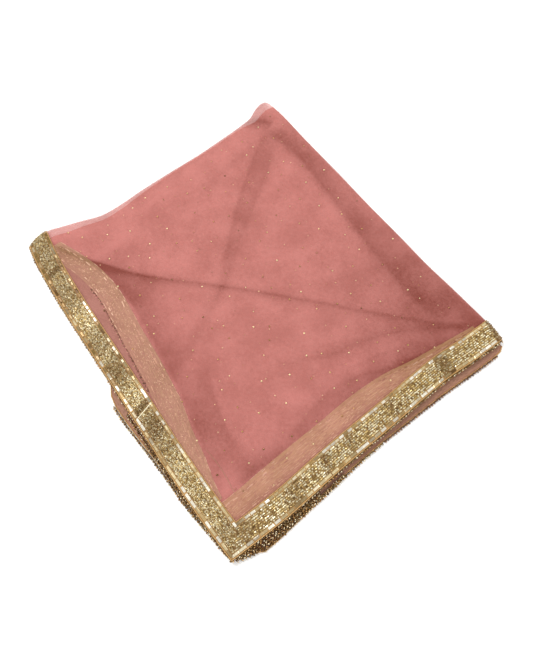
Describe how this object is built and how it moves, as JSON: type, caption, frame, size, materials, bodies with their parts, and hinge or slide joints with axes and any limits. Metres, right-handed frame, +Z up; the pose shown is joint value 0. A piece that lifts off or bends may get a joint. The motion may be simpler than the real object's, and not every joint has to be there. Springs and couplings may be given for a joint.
{
  "type": "folded dupatta stole",
  "caption": "Sheer rose net dupatta stole folded into a flat packet, with a mitred gold lace border, bead edging and scattered studs.",
  "frame": {"origin": "centre of the packet's footprint, on the surface it lies on", "axes": "+X along the packet towards the laced corner, +Y across it away from the laced long edge, +Z up"},
  "size_m": [0.607, 0.5312, 0.0144],
  "materials": {
    "rose_net": "fine sheer nylon net, soft and matt with a slight sheen, see-through in one layer",
    "rose_net_layers": "several layers of the same net lying on each other, nearly opaque",
    "gold_lace": "woven metallic lace ribbon, pale gold sticks and flat strips with olive shadows, orange-gold piping",
    "lace_wrong_side": "wrong side of the lace ribbon, dull tan with a few bright strips",
    "bronze_beads": "small dark bronze-plated beads, glossy, in a scalloped edging"
  },
  "bodies": {
    "root": {"hidden_folds": "rose_net_layers", "top_net": "rose_net", "top_side_border": "gold_lace", "top_end_border": "gold_lace", "top_side_beads": "bronze_beads", "top_end_beads": "bronze_beads", "second_side_border": "lace_wrong_side", "second_end_border": "lace_wrong_side", "second_side_beads": "bronze_beads", "under_side_border": "lace_wrong_side", "under_end_border": "lace_wrong_side", "under_side_beads": "bronze_beads", "under_end_beads": "bronze_beads"}
  },
  "joints": []
}
